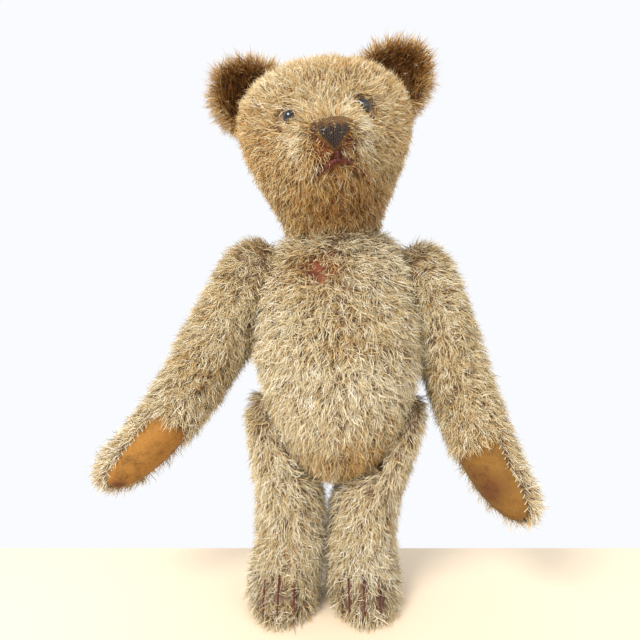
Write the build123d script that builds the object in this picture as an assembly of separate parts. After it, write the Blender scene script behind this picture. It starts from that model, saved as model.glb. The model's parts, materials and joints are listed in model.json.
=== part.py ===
from build123d import *
import os
from math import cos, radians, sin, sqrt

# Five-way disc-jointed teddy bear, 13 in (330 mm) class, standing and facing -Y.
# Millimetres, +Z up, +X is the bear's left. The sewn cloth surface is what is modelled:
# the mohair pile stands about 3 to 4 mm outside it. The torso's own axis is X = 0, Y = 0
# while building, and the finished bear is then centred on its box.

# Cloth, felt and card
COVER_WALL = 1.2          # mohair cloth with its seams
STUFFING_GAP = 0.2        # between the cloth and the packed wood wool
INSOLE_THICKNESS = 1.0
INSOLE_INSET = 2.4        # from the edge of the sole
STITCH_RADIUS = 0.8

# Joint hardware, the same at all five joints
JOINT_GAP = 0.5           # between the two cloths that turn on each other
DISC_THICKNESS = 2.0
WASHER_RADIUS = 5.0
WASHER_THICKNESS = 0.6
SEAT_GAP = 0.05           # between stacked joint pieces
PIN_RADIUS = 1.0
PIN_FIT = 0.08            # radial, in discs and washers
PIN_CLOTH_GAP = 0.3       # radial, where the pin goes through cloth
PIN_WIRE = 0.7            # radius of each curled leg
PIN_EYE_RADIUS = 2.2
PIN_CURL_RADIUS = 2.4
POCKET_GAP = 0.6          # round the hardware, in the stuffing

# Torso
TORSO_HEIGHT = 140.0      # from its rounded bottom to the dome that the neck plane cuts
TORSO_HALF_WIDTH = 46.0
TORSO_HALF_DEPTH = 41.0
TORSO_BOTTOM = 66.0
TORSO_STATIONS = [
    # share of the height, share of the width
    (0.0, 0.10), (0.012, 0.25), (0.06, 0.47), (0.16, 0.72), (0.31, 0.91), (0.52, 1.0),
    (0.71, 0.925), (0.83, 0.82), (0.92, 0.66), (0.98, 0.38), (1.0, 0.12),
]
NECK_DISC = 19.0
SHOULDER_DISC = 13.0
HIP_DISC = 12.5
DISC_MARGIN = 1.0         # of cloth past a limb's disc, which it stretches into a flat boss
BOSS_DEPTH = 6.0

# Head, measured along the leaning neck axis
NECK_CENTRE = (-2.0, 0.0, 197.5)
HEAD_LEAN = 4.5           # degrees, towards the bear's right
FACE_ROLL = 5.0           # degrees more, by which the stuffed face is twisted
HEAD_HEIGHT = 94.0
HEAD_HALF_WIDTH = 46.0
HEAD_HALF_DEPTH = 42.5
MUZZLE_LENGTH = 63.0      # from the neck axis
MUZZLE_RADIUS = 18.5
MUZZLE_HEIGHT = 33.0
MUZZLE_ROOT = 0.86        # the skull's own depth at the muzzle, as a share of its greatest
HEAD_ANGLES = [0, 14, 28, 45, 68, 95, 135, 180]   # degrees round a section, from the front
HEAD_STATIONS = [
    # share of the height, share of the width, share of the muzzle's length
    (-0.03, 0.49, 0.0), (0.075, 0.50, 0.10), (0.18, 0.58, 0.45), (0.285, 0.70, 0.86),
    (0.385, 0.80, 1.0), (0.48, 0.89, 0.80), (0.57, 0.96, 0.28), (0.67, 1.0, 0.04),
    (0.78, 0.98, 0.0), (0.88, 0.85, 0.0), (0.95, 0.60, 0.0), (0.99, 0.30, 0.0), (1.0, 0.08, 0.0),
]
GUSSET_HALF_WIDTH = 17.0
EYE_RADIUS = 3.6
EYE_SPREAD = 17.2         # each side of the face's middle
EYE_HEIGHT = 56.5
EYE_PROUD = 1.2
EYE_BACK = 0.4            # its flat back, ahead of the cloth
EYE_WIRE_RADIUS = 0.45
EYE_WIRE_LENGTH = 12.0
NOSE_HEIGHT = 40.5
NOSE_HALF_WIDTH = 10.0
NOSE_TALL = 15.0
NOSE_THICKNESS = 1.1
EAR_BASE = 19.0           # half the sewn edge
EAR_REACH = 23.5
EAR_DEPTH = 9.0
EAR_WALL = 3.2            # two thicknesses of mohair cloth
EAR_ANGLE = 38.0          # degrees above the face's own horizontal
EAR_SPREAD = 39.0
EAR_HEIGHT = 86.5
EAR_ROLL = 2.4            # degrees, by which the pair of ears is twisted

# Limbs: a joint point on the torso, its axis, and stations down the limb.
# A station is (x, y, z), half thickness along the joint axis, half width across it.
SHOULDER_HEIGHT = 174.0
SHOULDER_REACH = 36.3
HIP_HEIGHT = 92.0
HIP_REACH = 30.0
SOLE_HEIGHT = 0.0

LEFT_ARM_RISE = 17.0      # degrees by which the shoulder's axis points up
RIGHT_ARM_RISE = 22.0
LEFT_HIP_DROP = 20.0      # degrees by which the hip's axis points down
RIGHT_HIP_DROP = 16.0

LEFT_ARM = [
    ((51.0, 0.0, 176.0), 13.8, 18.5),
    ((58.0, -1.5, 152.0), 14.5, 18.5),
    ((63.5, -4.0, 127.0), 15.5, 17.5),
    ((72.0, -9.0, 101.0), 14.8, 16.0),
    ((80.0, -14.0, 80.0), 13.5, 14.0),
    ((87.0, -18.0, 66.0), 12.5, 13.0),
    ((92.5, -21.0, 58.5), 10.0, 11.0),
]
RIGHT_ARM = [
    ((-50.5, 0.0, 178.0), 13.8, 18.5),
    ((-61.0, -1.5, 156.0), 14.5, 18.5),
    ((-72.0, -4.0, 133.0), 15.5, 17.5),
    ((-82.0, -8.0, 114.0), 14.0, 16.0),
    ((-93.0, -13.0, 97.0), 12.8, 14.0),
    ((-106.0, -18.0, 82.0), 12.0, 13.0),
    ((-114.0, -21.0, 75.5), 10.0, 11.0),
]
LEFT_LEG = [
    ((36.6, 0.0, 90.0), 6.6, 22.0),
    ((28.0, 0.0, 74.0), 9.4, 21.0),
    ((17.5, 0.0, 59.0), 15.0, 19.5),
    ((13.3, -0.5, 41.0), 15.8, 17.5),
    ((12.8, -1.0, 24.0), 15.8, 17.5),
]
RIGHT_LEG = [
    ((-38.4, 0.0, 90.0), 8.4, 22.0),
    ((-32.5, 0.0, 74.0), 12.2, 21.0),
    ((-26.6, 0.0, 59.0), 15.4, 19.5),
    ((-25.8, -0.5, 41.0), 16.0, 17.5),
    ((-26.2, -1.0, 24.0), 16.0, 17.5),
]
LEFT_FOOT = (14.0, -9.0)
RIGHT_FOOT = (-29.5, -9.0)
FOOT_HALF_WIDTH = 16.2
FOOT_HALF_LENGTH = 28.5
FOOT_TALL = 25.0
FOOT_STATIONS = [
    # share of the foot's height, of the way forward, and of its length
    (0.62, 0.25, 0.70), (0.36, 0.72, 0.88), (0.14, 1.0, 1.0), (0.0, 1.0, 0.95),
]
CLAW_OFFSETS = (-9.0, -1.5, 6.5)
CLAW_ROOT = 8.0           # the point inside the foot that the claws fan out from
CLAW_RISE = 1.5
CLAW_ANGLES = (10, 30, 50, 72)
PAW_PAD_LENGTH = 52.0
PAW_PAD_START = 5.0       # of the seam, ahead of the paw's middle
PAW_PAD_TURN = 42.0       # degrees by which the pad faces inward from the front
DOME_ANGLES = (80, 62, 35)    # degrees, the ovals that round off a limb's end
LIMB_STEPS = 3                # ovals from one station to the next
HIP_FLAT = 28.0               # radius of the flat of the leg's inner face
HIP_DISH = 38.0               # radius of the dish round that flat, which clears the body

FAR = 400.0               # larger than the bear, for cutting half spaces


def ellipsoid(half_x, half_y, half_z):
    return scale(Sphere(1.0), by=(half_x, half_y, half_z))


def joint_plane(point, axis):
    """Frame of a joint: origin between the cloths, Z out of the torso."""
    return Plane(origin=point, x_dir=Vector(0, 1, 0).cross(Vector(*axis)), z_dir=axis)


def beyond(plane, offset, side):
    """All of space on one side of a plane, as a large block."""
    centre = offset + side * FAR / 2
    return plane.location * Pos(0, 0, centre) * Box(FAR, FAR, FAR)


def rod(plane, radius, low, high):
    return plane.location * Pos(0, 0, (low + high) / 2) * Cylinder(radius, high - low)


# Joint frames

def neck_plane():
    lean = radians(HEAD_LEAN)
    return joint_plane(NECK_CENTRE, (-sin(lean), 0, cos(lean)))


def shoulder_plane(side, rise):
    turn = radians(rise)
    return joint_plane((side * SHOULDER_REACH, 0, SHOULDER_HEIGHT), (side * cos(turn), 0, sin(turn)))


def hip_plane(side, drop):
    turn = radians(drop)
    return joint_plane((side * HIP_REACH, 0, HIP_HEIGHT), (side * cos(turn), 0, -sin(turn)))


NECK = neck_plane()
LEFT_SHOULDER = shoulder_plane(1, LEFT_ARM_RISE)
RIGHT_SHOULDER = shoulder_plane(-1, RIGHT_ARM_RISE)
LEFT_HIP = hip_plane(1, LEFT_HIP_DROP)
RIGHT_HIP = hip_plane(-1, RIGHT_HIP_DROP)
TORSO_JOINTS = [
    ("neck", NECK, NECK_DISC),
    ("left_shoulder", LEFT_SHOULDER, SHOULDER_DISC),
    ("right_shoulder", RIGHT_SHOULDER, SHOULDER_DISC),
    ("left_hip", LEFT_HIP, HIP_DISC),
    ("right_hip", RIGHT_HIP, HIP_DISC),
]


# Joint hardware. Along a joint's Z the torso's cloth, disc and washer are below 0,
# and the limb's are above it.

def disc_level():
    return JOINT_GAP / 2 + COVER_WALL + SEAT_GAP


def washer_level():
    return disc_level() + DISC_THICKNESS + SEAT_GAP


def stack_level():
    return washer_level() + WASHER_THICKNESS + SEAT_GAP


def disc(plane, radius, side):
    low, high = sorted((side * disc_level(), side * (disc_level() + DISC_THICKNESS)))
    return rod(plane, radius, low, high) - rod(plane, PIN_RADIUS + PIN_FIT, low - 1, high + 1)


def washer(plane, side):
    low, high = sorted((side * washer_level(), side * (washer_level() + WASHER_THICKNESS)))
    return rod(plane, WASHER_RADIUS, low, high) - rod(plane, PIN_RADIUS + PIN_FIT, low - 1, high + 1)


def cotter_pin(plane):
    """Split pin: its eye rests on the limb's washer, its legs are curled on the torso's."""
    eye_height = stack_level() + PIN_EYE_RADIUS + PIN_WIRE
    legs_end = -stack_level() - PIN_CURL_RADIUS - PIN_WIRE
    pin = Pos(0, 0, eye_height) * Rot(90, 0, 0) * Torus(PIN_EYE_RADIUS, PIN_WIRE)
    top = eye_height - PIN_EYE_RADIUS
    pin += Pos(0, 0, (top + legs_end) / 2) * Cylinder(PIN_RADIUS, top - legs_end)
    curl = Rot(90, 0, 0) * Rot(0, 0, 180) * Torus(PIN_CURL_RADIUS, PIN_WIRE, major_angle=170)
    for turn in (0, 180):
        pin += Rot(0, 0, turn) * Pos(PIN_RADIUS / 3 + PIN_CURL_RADIUS, 0, legs_end) * curl
    return plane.location * pin


def hardware_pocket(plane, radius, side):
    """Space that a joint's pieces take up in the stuffing."""
    wide = sorted((0, side * (stack_level() + POCKET_GAP)))
    reach = 2 * (PIN_CURL_RADIUS + PIN_WIRE) + POCKET_GAP
    deep = sorted((0, side * (stack_level() + reach)))
    return (rod(plane, radius + POCKET_GAP, *wide)
            + rod(plane, max(reach, WASHER_RADIUS + POCKET_GAP), *deep))


def pin_hole(plane):
    reach = disc_level() + 1
    return rod(plane, PIN_RADIUS + PIN_CLOTH_GAP, -reach, reach)


# Torso

def torso_form(inset, level):
    """Egg-shaped body, flattened at a level below each joint, where the five discs clamp it."""
    tall, low = TORSO_HEIGHT - 2 * inset, TORSO_BOTTOM + inset
    sections = []
    for height, width in TORSO_STATIONS:
        oval = Ellipse(TORSO_HALF_WIDTH * width - inset * min(1, 4 * width),
                       TORSO_HALF_DEPTH * width - inset * min(1, 4 * width))
        sections.append(Pos(0, 0, low + tall * height) * oval)
    form = loft(sections)
    for _, plane, _ in TORSO_JOINTS:
        form -= beyond(plane, -level, 1)
    return form


def torso_parts():
    shell = torso_form(0, JOINT_GAP / 2) - torso_form(COVER_WALL, JOINT_GAP / 2 + COVER_WALL)
    inset = COVER_WALL + STUFFING_GAP
    stuffing = torso_form(inset, JOINT_GAP / 2 + inset)
    parts = {}
    for name, plane, radius in TORSO_JOINTS:
        shell -= pin_hole(plane)
        stuffing -= hardware_pocket(plane, radius, -1)
        parts[name + "_body_disc"] = disc(plane, radius, -1)
        parts[name + "_body_washer"] = washer(plane, -1)
    parts["body_cover_left"] = shell - beyond(Plane.YZ, 0, -1)
    parts["body_cover_right"] = shell - beyond(Plane.YZ, 0, 1)
    parts["body_stuffing"] = stuffing
    return parts


# Head

def face_location():
    """Head frame: X to the bear's left, -Y forward, Z up the leaning neck."""
    return Location(NECK_CENTRE) * Rot(0, -HEAD_LEAN, 0)


def rolled(height, roll=FACE_ROLL):
    """Face frame turned about the front-back line at a height up the head."""
    return face_location() * Pos(0, 0, height) * Rot(0, -roll, 0) * Pos(0, 0, -height)


def head_section(height, width, bulge, inset):
    """Closed outline across the head: an oval with the muzzle standing out of its front."""
    half_wide = HEAD_HALF_WIDTH * width - inset
    half_deep = HEAD_HALF_DEPTH * width - inset
    reach = (MUZZLE_LENGTH - HEAD_HALF_DEPTH * MUZZLE_ROOT) * bulge
    points = []
    for angle in HEAD_ANGLES + [-angle for angle in reversed(HEAD_ANGLES[1:-1])]:
        x = half_wide * sin(radians(angle))
        stand = reach / (1 + (x / MUZZLE_RADIUS) ** 4) if abs(angle) < 90 else 0
        points.append((x, -half_deep * cos(radians(angle)) - stand))
    return Pos(0, 0, height) * make_face(Spline(*points, periodic=True))


def head_form(inset, level):
    """Skull, muzzle and throat in one, flat at a level above the neck's joint."""
    tall = HEAD_HEIGHT - inset
    sections = [head_section(tall * h, width, bulge, inset) for h, width, bulge in HEAD_STATIONS]
    form = face_location() * loft(sections)
    return form - beyond(NECK, level, -1)


def front_point(form, place):
    """Where a line along Y through a place meets the front of a form, and the normal there."""
    hits = form.find_intersection_points(Axis(place, (0, 1, 0)))
    return min(hits, key=lambda hit: hit[0].Y)


def toe_point(form, place, angle):
    """Where a line rising forward at an angle from a place inside the foot leaves it."""
    rise = Vector(0, -cos(radians(angle)), sin(radians(angle)))
    hits = [hit[0] for hit in form.find_intersection_points(Axis(place, rise))]
    ahead = [hit for hit in hits if (hit - Vector(*place)).dot(rise) > 0]
    return min(ahead, key=lambda hit: (hit - Vector(*place)).length)


def face_place(x, height):
    return (rolled(EYE_HEIGHT) * Pos(x, -2 * MUZZLE_LENGTH, height)).position


def stitch(points, form):
    """A line of thread lying on a form."""
    path = Spline(*points) if len(points) > 2 else Line(*points)
    plane = Plane(origin=path @ 0, z_dir=path % 0)
    thread = sweep(plane * Circle(STITCH_RADIUS), path)
    for end in (path @ 0, path @ 1):
        thread += Pos(*end) * Sphere(STITCH_RADIUS)
    return thread - form


def eye_axis(form, side):
    point, normal = front_point(form, face_place(side * EYE_SPREAD, EYE_HEIGHT))
    return point, Vector(normal) if normal.Y < 0 else -Vector(normal)


def glass_eye(form, side):
    point, normal = eye_axis(form, side)
    ball = Pos(*(point + normal * EYE_PROUD)) * Sphere(EYE_RADIUS)
    return ball - beyond(Plane(origin=point, z_dir=normal), EYE_BACK, -1)


def eye_wire(form, side, radius, extra):
    point, normal = eye_axis(form, side)
    plane = Plane(origin=point, z_dir=normal)
    return rod(plane, radius, -EYE_WIRE_LENGTH - extra, EYE_BACK + extra)


def ear(form, side):
    """Cupped ear, sewn on along its lower edge."""
    outer = ellipsoid(EAR_BASE, EAR_DEPTH, EAR_REACH)
    hollow = ellipsoid(EAR_BASE - EAR_WALL, EAR_DEPTH, EAR_REACH - EAR_WALL)
    cup = outer - Pos(0, -EAR_WALL, 0) * hollow
    turn = side * (90 - EAR_ANGLE)
    place = rolled(EAR_HEIGHT, EAR_ROLL) * Pos(side * EAR_SPREAD, 0, EAR_HEIGHT) * Rot(0, turn, 0)
    pieces = (place * cup - form).solids()
    return max(pieces, key=lambda piece: piece.volume)


def nose_cutter():
    """Rounded triangle, wide at the top, pushed through the muzzle's tip from the front."""
    wide, tall = NOSE_HALF_WIDTH, NOSE_TALL
    outline = Spline((0, -0.55 * tall), (0.75 * wide, -0.1 * tall), (wide, 0.3 * tall),
                     (0, 0.5 * tall), (-wide, 0.3 * tall), (-0.75 * wide, -0.1 * tall), periodic=True)
    block = extrude(make_face(outline), MUZZLE_LENGTH)
    place = rolled(EYE_HEIGHT) * Pos(0, -0.6 * MUZZLE_LENGTH, NOSE_HEIGHT) * Rot(90, 0, 0)
    return place * block


def nose(form):
    patch = (head_form(-NOSE_THICKNESS, JOINT_GAP / 2) & nose_cutter()) - form
    return max(patch.solids(), key=lambda piece: piece.volume)


def mouth(form):
    """Short upright stitch under the nose and two longer ones spreading from its foot."""
    def at(x, height):
        return front_point(form, face_place(x, height))[0]

    foot = NOSE_HEIGHT - 0.7 * NOSE_TALL
    middle = at(0, foot)
    upright = stitch([at(0, NOSE_HEIGHT - 0.6 * NOSE_TALL), middle], form)
    left = stitch([middle, at(5, foot - 1.5), at(11, foot - 5)], form)
    right = stitch([middle, at(-5, foot - 1.5), at(-11, foot - 5)], form)
    return upright + left + right


def head_parts():
    form = head_form(0, JOINT_GAP / 2)
    shell = form - head_form(COVER_WALL, JOINT_GAP / 2 + COVER_WALL) - pin_hole(NECK)
    inset = COVER_WALL + STUFFING_GAP
    stuffing = head_form(inset, JOINT_GAP / 2 + inset) - hardware_pocket(NECK, NECK_DISC, 1)
    wires = []
    for side in (1, -1):
        shell -= eye_wire(form, side, EYE_WIRE_RADIUS + PIN_FIT, 1)
        stuffing -= eye_wire(form, side, EYE_WIRE_RADIUS + PIN_FIT, 1)
        wires.append(eye_wire(form, side, EYE_WIRE_RADIUS, 0))
    middle = Plane(face_location())
    across = Plane(origin=middle.origin, z_dir=middle.x_dir)
    sides = beyond(across, GUSSET_HALF_WIDTH, 1) + beyond(across, -GUSSET_HALF_WIDTH, -1)
    centre = beyond(across, 0, 1)
    upper = beyond(Plane(face_location() * Pos(0, 0, MUZZLE_HEIGHT)), 0, 1)
    gusset = shell - sides & upper
    rest = shell - gusset
    return {
        "head_gusset": gusset,
        "head_cover_left": rest & centre,
        "head_cover_right": rest - centre,
        "head_stuffing": stuffing,
        "neck_head_disc": disc(NECK, NECK_DISC, 1),
        "neck_head_washer": washer(NECK, 1),
        "neck_pin": cotter_pin(NECK),
        "left_ear": ear(form, 1),
        "right_ear": ear(form, -1),
        "left_eye": glass_eye(form, 1),
        "right_eye": glass_eye(form, -1),
        "eye_wires": Compound(wires),
        "nose_stitching": nose(form),
        "mouth_stitching": mouth(form),
    }


# Limbs

def between(stations, first, share):
    """Smooth blend from one station to the next, as (x, y, z, thickness, width)."""
    last = len(stations) - 1
    rows = [stations[min(max(first + step, 0), last)] for step in (-1, 0, 1, 2)]
    values = zip(*[(*centre, thick, wide) for centre, thick, wide in rows])
    return [b + share * (c - a) / 2 + share ** 2 * (a - 2.5 * b + 2 * c - d / 2)
            + share ** 3 * (1.5 * (b - c) + (d - a) / 2) for a, b, c, d in values]


def limb_sections(stations, axis, inset, domes):
    """Ovals square to the limb's middle line, with a rounded end at each dome."""
    rows = [between(stations, i, step / LIMB_STEPS)
            for i in range(len(stations) - 1) for step in range(LIMB_STEPS)]
    rows.append(between(stations, len(stations) - 2, 1))
    centres = [Vector(*row[:3]) for row in rows]
    last = len(rows) - 1
    sections = []
    for i, (centre, (thick, wide)) in enumerate(zip(centres, [row[3:] for row in rows])):
        along = (centres[min(i + 1, last)] - centres[max(i - 1, 0)]).normalized()
        across = along.cross(axis).normalized()
        angles = [0]
        if i == 0 and "start" in domes:
            angles = [-angle for angle in DOME_ANGLES] + [0]
        if i == last and "end" in domes:
            angles = [0] + list(reversed(DOME_ANGLES))
        for angle in angles:
            share = cos(radians(angle))
            place = centre + along * ((wide - inset) * sin(radians(angle)))
            frame = Plane(origin=place, x_dir=across, z_dir=along)
            sections.append(frame * Ellipse((wide - inset) * share, (thick - inset) * share))
    return sections


def boss(plane, radius, inset, level):
    """Flat round of cloth over a limb's disc."""
    return rod(plane, radius + DISC_MARGIN + COVER_WALL - inset, level, BOSS_DEPTH)


def arm_form(stations, plane, inset, level):
    form = loft(limb_sections(stations, plane.z_dir, inset, ("start", "end")))
    return form - beyond(plane, level, -1) + boss(plane, SHOULDER_DISC, inset, level)


def paw_cutter(stations):
    """Block over the front of the paw, where felt takes the place of mohair."""
    tip, wrist = Vector(*stations[-1][0]), Vector(*stations[-3][0])
    along = (tip - wrist).normalized()
    front = Vector(0, -1, 0)
    front = (front - along * front.dot(along)).normalized()
    inward = along.cross(front)
    inward = inward if inward.X * tip.X < 0 else -inward
    front = front * cos(radians(PAW_PAD_TURN)) + inward * sin(radians(PAW_PAD_TURN))
    plane = Plane(origin=tip, x_dir=along, z_dir=front)
    outline = Pos(-PAW_PAD_LENGTH / 2 + 16, 0, 0) * Ellipse(PAW_PAD_LENGTH / 2, 60)
    return extrude(plane * Pos(0, 0, PAW_PAD_START) * outline, FAR / 4)


def arm_parts(side, stations, plane):
    inner = arm_form(stations, plane, COVER_WALL, JOINT_GAP / 2 + COVER_WALL)
    shell = arm_form(stations, plane, 0, JOINT_GAP / 2) - inner - pin_hole(plane)
    cutter = paw_cutter(stations)
    inset = COVER_WALL + STUFFING_GAP
    stuffing = arm_form(stations, plane, inset, JOINT_GAP / 2 + inset)
    return {
        side + "_arm_cover": shell - cutter,
        side + "_paw_pad": shell & cutter,
        side + "_arm_stuffing": stuffing - hardware_pocket(plane, SHOULDER_DISC, 1),
        side + "_arm_disc": disc(plane, SHOULDER_DISC, 1),
        side + "_arm_washer": washer(plane, 1),
        side + "_shoulder_pin": cotter_pin(plane),
    }


def hip_hollow(plane, inset, level):
    """Room for the body in the leg's inner face: flat under the disc and dished round it."""
    depth = sqrt(HIP_DISH ** 2 - HIP_FLAT ** 2) - JOINT_GAP / 2
    dish = plane.location * Pos(0, 0, -depth) * Sphere(HIP_DISH + inset)
    dish -= beyond(plane, level, 1)
    return dish + rod(plane, HIP_FLAT + inset, level - HIP_DISH, level)


def leg_form(stations, foot, plane, inset, level):
    """Leg and foot in one, standing flat on its sole."""
    sections = limb_sections(stations, plane.z_dir, inset, ("start",))
    x, y = foot
    ankle = stations[-1][0]
    for height, spread, length in FOOT_STATIONS:
        place = (x, ankle[1] + (y - ankle[1]) * spread, SOLE_HEIGHT + max(height * FOOT_TALL, inset))
        frame = Plane(origin=place, x_dir=(0, -1, 0), z_dir=(0, 0, -1))
        sections.append(frame * Ellipse(FOOT_HALF_LENGTH * length - inset, FOOT_HALF_WIDTH - inset))
    return loft(sections) - hip_hollow(plane, inset, level) + boss(plane, HIP_DISC, inset, level)


def claws(form, foot):
    """Three stitches running up over the toes."""
    x, y = foot
    lines = []
    for offset in CLAW_OFFSETS:
        root = (x + offset, y - CLAW_ROOT, SOLE_HEIGHT + CLAW_RISE)
        lines.append(stitch([toe_point(form, root, angle) for angle in CLAW_ANGLES], form))
    return Compound(lines)


def leg_parts(side, stations, foot, plane):
    form = leg_form(stations, foot, plane, 0, JOINT_GAP / 2)
    inner = leg_form(stations, foot, plane, COVER_WALL, JOINT_GAP / 2 + COVER_WALL)
    shell = form - inner - pin_hole(plane)
    ground = beyond(Plane.XY, SOLE_HEIGHT + COVER_WALL, -1)
    inset = COVER_WALL + STUFFING_GAP
    stuffing = leg_form(stations, foot, plane, inset, JOINT_GAP / 2 + inset)
    insole_low = SOLE_HEIGHT + COVER_WALL + SEAT_GAP
    insole_top = insole_low + INSOLE_THICKNESS
    x, y = foot
    insole = Pos(x, y, (insole_low + insole_top) / 2) * extrude(Ellipse(
        FOOT_HALF_WIDTH - INSOLE_INSET, FOOT_HALF_LENGTH * FOOT_STATIONS[-1][2] - INSOLE_INSET),
        INSOLE_THICKNESS / 2, both=True)
    return {
        side + "_leg_cover": shell - ground,
        side + "_foot_pad": shell & ground,
        side + "_insole": insole,
        side + "_leg_stuffing": stuffing - beyond(Plane.XY, insole_top + SEAT_GAP, -1)
        - hardware_pocket(plane, HIP_DISC, 1),
        side + "_leg_disc": disc(plane, HIP_DISC, 1),
        side + "_leg_washer": washer(plane, 1),
        side + "_hip_pin": cotter_pin(plane),
        side + "_claws": claws(form, foot),
    }


def all_parts():
    parts = torso_parts()
    parts.update(head_parts())
    parts.update(arm_parts("left", LEFT_ARM, LEFT_SHOULDER))
    parts.update(arm_parts("right", RIGHT_ARM, RIGHT_SHOULDER))
    parts.update(leg_parts("left", LEFT_LEG, LEFT_FOOT, LEFT_HIP))
    parts.update(leg_parts("right", RIGHT_LEG, RIGHT_FOOT, RIGHT_HIP))
    return parts


def centring(parts):
    """Shift that brings the bear's box to the origin in plan."""
    boxes = [piece.bounding_box() for piece in parts.values()]
    middle_x = (min(box.min.X for box in boxes) + max(box.max.X for box in boxes)) / 2
    middle_y = (min(box.min.Y for box in boxes) + max(box.max.Y for box in boxes)) / 2
    return Vector(-middle_x, -middle_y, 0)


def write(parts):
    """Centre the bear, write one file for each piece, and print where the joints are."""
    shift = centring(parts)
    os.makedirs("parts", exist_ok=True)
    for name, piece in parts.items():
        export_step(Pos(*shift) * piece, f"parts/{name}.step")
    print("shift", shift)
    for name, plane, _ in TORSO_JOINTS:
        at, axis = plane.origin + shift, plane.z_dir
        print(f"joint {name} {at.X:.4f} {at.Y:.4f} {at.Z:.4f} {axis.X:.6f} {axis.Y:.6f} {axis.Z:.6f}")


write(all_parts())
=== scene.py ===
import json
import math

import bmesh
import bpy
import numpy as np
from mathutils import Matrix, Vector
from mathutils.bvhtree import BVHTree
from mathutils.kdtree import KDTree


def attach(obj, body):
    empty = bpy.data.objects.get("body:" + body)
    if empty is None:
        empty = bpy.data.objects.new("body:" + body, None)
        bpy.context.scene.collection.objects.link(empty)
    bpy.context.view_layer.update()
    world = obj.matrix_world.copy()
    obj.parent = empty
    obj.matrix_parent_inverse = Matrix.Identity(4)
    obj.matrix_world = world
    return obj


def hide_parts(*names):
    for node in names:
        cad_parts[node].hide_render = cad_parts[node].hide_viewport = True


# Old jointed teddy bear in mohair plush, facing -Y, with its left at +X. Metres.
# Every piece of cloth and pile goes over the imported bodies; sizes below are in millimetres.

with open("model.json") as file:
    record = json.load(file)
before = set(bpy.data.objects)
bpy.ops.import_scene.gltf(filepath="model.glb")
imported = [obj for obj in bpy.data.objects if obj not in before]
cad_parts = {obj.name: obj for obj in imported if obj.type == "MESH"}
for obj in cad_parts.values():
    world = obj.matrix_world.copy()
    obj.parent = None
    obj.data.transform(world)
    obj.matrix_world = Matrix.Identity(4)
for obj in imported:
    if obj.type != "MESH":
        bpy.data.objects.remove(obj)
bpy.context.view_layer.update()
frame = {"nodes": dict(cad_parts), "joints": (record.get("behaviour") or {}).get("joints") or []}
bpy.context.scene.view_settings.view_transform = "Standard"

MM = 0.001
JOINTS = {j["name"]: (Vector(j["pos_m"]), Vector(j["axis"]).normalized()) for j in frame["joints"]}
NECK_FROM_AXIS = Vector((-2.0, 0.0, 197.5)) * MM     # the neck joint, from the torso's own axis
HOME = JOINTS["head_turn"][0] - NECK_FROM_AXIS
HALF_GAP = 0.25                                      # each cloth's share of the gap at a joint

# Torso
TORSO_LOW, TORSO_TALL = 66.0, 140.0
TORSO_HALF_WIDTH, TORSO_HALF_DEPTH = 46.0, 41.0
TORSO_RINGS = [(0.0, 0.10), (0.012, 0.25), (0.06, 0.47), (0.16, 0.72), (0.31, 0.91), (0.52, 1.0),
               (0.71, 0.925), (0.83, 0.82), (0.92, 0.66), (0.98, 0.38), (1.0, 0.12)]

# Head, in its own leaning frame: origin at the neck joint, Z up the neck, -Y forward
HEAD_LEAN, FACE_ROLL = 4.5, 5.0
HEAD_TALL, HEAD_HALF_WIDTH, HEAD_HALF_DEPTH = 94.0, 46.0, 42.5
MUZZLE_STAND, MUZZLE_RADIUS = 26.5, 18.5
HEAD_RINGS = [(-0.03, 0.49, 0.0), (0.075, 0.50, 0.10), (0.18, 0.58, 0.45), (0.285, 0.70, 0.86),
              (0.385, 0.80, 1.0), (0.48, 0.89, 0.80), (0.57, 0.96, 0.28), (0.67, 1.0, 0.04),
              (0.78, 0.98, 0.0), (0.88, 0.85, 0.0), (0.95, 0.60, 0.0), (0.99, 0.30, 0.0),
              (1.0, 0.08, 0.0)]
EYE_HEIGHT = 56.5
NOSE_HEIGHT, NOSE_TALL = 40.5, 15.0
EAR_HALF_WIDTH, EAR_REACH, EAR_SPREAD, EAR_HEIGHT = 19.0, 23.5, 39.0, 86.5
EAR_TURN, EAR_ROLL = 52.0, 2.4
EAR_RINGS = [(0.06, 9.0), (0.4, 8.2), (0.72, 6.2), (0.93, 3.0), (1.0, -1.0), (0.90, -2.6),
             (0.78, 0.4), (0.5, 4.0), (0.22, 5.4), (0.06, 5.8)]

# Limbs: (x, y, z), half thickness along the joint's axis, half width across it
LIMBS = {
    "left_arm": [((47.7, 0, 176), 16.9, 18.5), ((56.6, -1.5, 152), 15.9, 18.5), ((63.5, -4, 127), 15.5, 17.5),
                 ((72, -9, 101), 14.8, 16), ((80, -14, 80), 13.5, 14), ((87, -18, 66), 12.5, 13),
                 ((92.5, -21, 58.5), 10, 11)],
    "right_arm": [((-47.1, 0, 178), 16.9, 18.5), ((-58.7, -1.5, 156), 16.6, 18.5),
                  ((-72, -4, 133), 15.5, 17.5), ((-82, -8, 114), 14, 16), ((-93, -13, 97), 12.8, 14),
                  ((-106, -18, 82), 12, 13), ((-114, -21, 75.5), 10, 11)],
    "left_leg": [((35.3, 0, 90), 7.8, 22), ((28, 0, 74), 9.4, 21), ((17.5, 0, 59), 15, 19.5),
                 ((13.3, -0.5, 41), 15.8, 17.5), ((12.8, -1, 24), 15.8, 17.5)],
    "right_leg": [((-36.9, 0, 90), 9.8, 22), ((-32.5, 0, 74), 12.2, 21), ((-26.6, 0, 59), 15.4, 19.5),
                  ((-25.8, -0.5, 41), 16, 17.5), ((-26.2, -1, 24), 16, 17.5)],
}
FEET = {"left": (14.0, -9.0), "right": (-29.5, -9.0)}
FOOT_TALL, FOOT_HALF_WIDTH, FOOT_HALF_LENGTH = 25.0, 16.2, 28.5
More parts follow.
